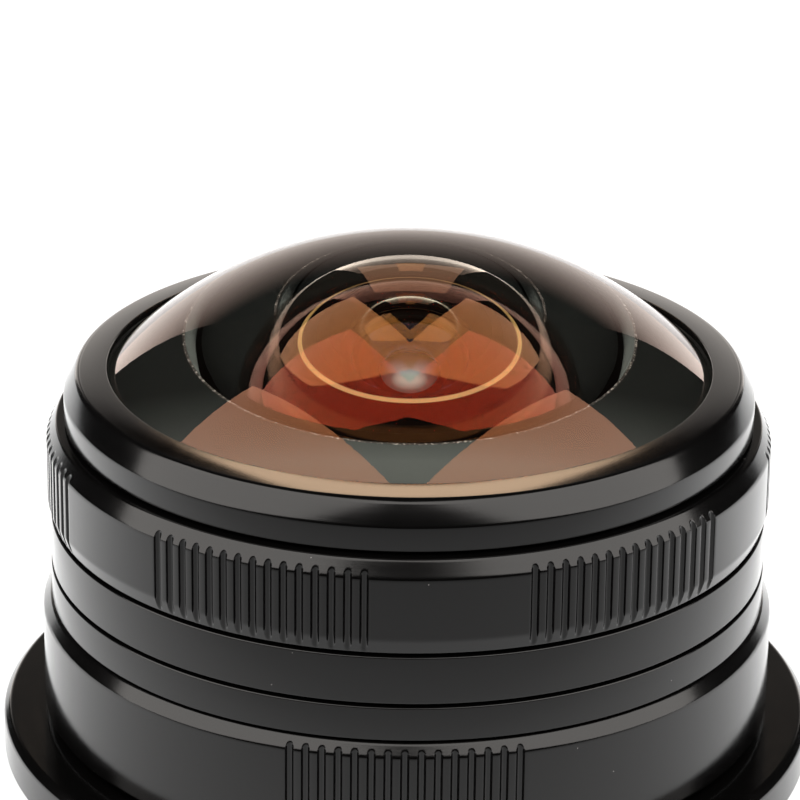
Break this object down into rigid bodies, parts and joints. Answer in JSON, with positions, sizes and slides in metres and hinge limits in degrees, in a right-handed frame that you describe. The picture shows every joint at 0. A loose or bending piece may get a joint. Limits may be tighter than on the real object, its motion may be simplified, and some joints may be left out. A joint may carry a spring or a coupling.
{
  "type": "fisheye lens",
  "caption": "Compact circular fisheye camera lens with a domed front glass, ribbed focus ring, aperture ring driving a bladed iris, and a bayonet mount.",
  "frame": {"origin": "centre of the mount's flange face, on the optical axis", "axes": "+Z along the optical axis towards the front glass, -Y towards the side that the picture shows"},
  "size_m": [0.0504, 0.0504, 0.036],
  "materials": {
    "black_anodised": "black anodised aluminium, satin, turned",
    "blackened_metal": "matt black inner metal",
    "mount_metal": "satin chrome on brass",
    "steel": "bright steel",
    "coated_glass": "polished optical glass with an amber and magenta coating",
    "seal_rubber": "matt",
    "red_enamel": "red enamel fill",
    "iris_black": "blackened spring steel"
  },
  "bodies": {
    "barrel": {"bayonet_mount": "mount_metal", "mount_screws": "steel", "mount_base": "black_anodised", "main_barrel": "blackened_metal", "index_ring": "black_anodised", "focus_retainer": "blackened_metal", "rear_baffle": "blackened_metal", "alignment_dot": "red_enamel", "click_ball": "steel", "click_spring": "steel"},
    "focus": {"focus_ring": "black_anodised", "distance_ring": "black_anodised"},
    "optics": {"front_bezel": "black_anodised", "front_seal": "seal_rubber", "front_element": "coated_glass", "front_cell": "blackened_metal", "focus_followers": "steel", "inner_cell": "blackened_metal", "cell_screws": "steel", "second_element": "coated_glass", "second_retainer": "blackened_metal", "third_element": "coated_glass", "third_retainer": "blackened_metal", "front_spacer": "blackened_metal", "fourth_element": "coated_glass", "iris_housing": "blackened_metal", "rear_cell": "blackened_metal", "doublet_crown": "coated_glass", "doublet_flint": "coated_glass", "rear_spacer": "blackened_metal", "rear_element": "coated_glass", "rear_retainer": "blackened_metal"},
    "aperture": {"aperture_ring": "black_anodised", "aperture_drive_pin": "steel"},
    "iris_drive": {"iris_drive_ring": "blackened_metal"},
    "blade_1": {"iris_blade_1": "iris_black"},
    "blade_2": {"iris_blade_2": "iris_black"},
    "blade_3": {"iris_blade_3": "iris_black"},
    "blade_4": {"iris_blade_4": "iris_black"},
    "blade_5": {"iris_blade_5": "iris_black"},
    "blade_6": {"iris_blade_6": "iris_black"},
    "blade_7": {"iris_blade_7": "iris_black"}
  },
  "joints": [
    {"name": "focus_turn", "type": "hinge", "parent": "barrel", "child": "focus", "pos_m": [0, 0, 0], "axis": [0, 0, 1], "range_deg": [0, 100]},
    {"name": "focus_slide", "type": "slide", "parent": "barrel", "child": "optics", "axis": [0, 0, 1], "range_m": [0, 0.00021]},
    {"name": "aperture_turn", "type": "hinge", "parent": "barrel", "child": "aperture", "pos_m": [0, 0, 0], "axis": [0, 0, 1], "range_deg": [0, 38]},
    {"name": "iris_turn", "type": "hinge", "parent": "optics", "child": "iris_drive", "pos_m": [0, 0, 0], "axis": [0, 0, 1], "range_deg": [0, 38]},
    {"name": "blade_1_swing", "type": "hinge", "parent": "optics", "child": "blade_1", "pos_m": [0.0072, 0, 0.0114], "axis": [0, 0, 1], "range_deg": [-25.4, 0]},
    {"name": "blade_2_swing", "type": "hinge", "parent": "optics", "child": "blade_2", "pos_m": [0.00449, 0.00563, 0.0114], "axis": [0, 0, 1], "range_deg": [-25.4, 0]},
    {"name": "blade_3_swing", "type": "hinge", "parent": "optics", "child": "blade_3", "pos_m": [-0.0016, 0.00702, 0.0114], "axis": [0, 0, 1], "range_deg": [-25.4, 0]},
    {"name": "blade_4_swing", "type": "hinge", "parent": "optics", "child": "blade_4", "pos_m": [-0.00649, 0.00312, 0.0114], "axis": [0, 0, 1], "range_deg": [-25.4, 0]},
    {"name": "blade_5_swing", "type": "hinge", "parent": "optics", "child": "blade_5", "pos_m": [-0.00649, -0.00312, 0.0114], "axis": [0, 0, 1], "range_deg": [-25.4, 0]},
    {"name": "blade_6_swing", "type": "hinge", "parent": "optics", "child": "blade_6", "pos_m": [-0.0016, -0.00702, 0.0114], "axis": [0, 0, 1], "range_deg": [-25.4, 0]},
    {"name": "blade_7_swing", "type": "hinge", "parent": "optics", "child": "blade_7", "pos_m": [0.00449, -0.00563, 0.0114], "axis": [0, 0, 1], "range_deg": [-25.4, 0]}
  ],
  "couplings": [
    {"joint": "focus_turn", "follows": "focus_slide", "rad_per_m": 8310},
    {"joint": "iris_turn", "follows": "aperture_turn", "ratio": 1},
    {"joint": "blade_1_swing", "follows": "aperture_turn", "ratio": -0.6667},
    {"joint": "blade_2_swing", "follows": "aperture_turn", "ratio": -0.6667},
    {"joint": "blade_3_swing", "follows": "aperture_turn", "ratio": -0.6667},
    {"joint": "blade_4_swing", "follows": "aperture_turn", "ratio": -0.6667},
    {"joint": "blade_5_swing", "follows": "aperture_turn", "ratio": -0.6667},
    {"joint": "blade_6_swing", "follows": "aperture_turn", "ratio": -0.6667},
    {"joint": "blade_7_swing", "follows": "aperture_turn", "ratio": -0.6667}
  ]
}
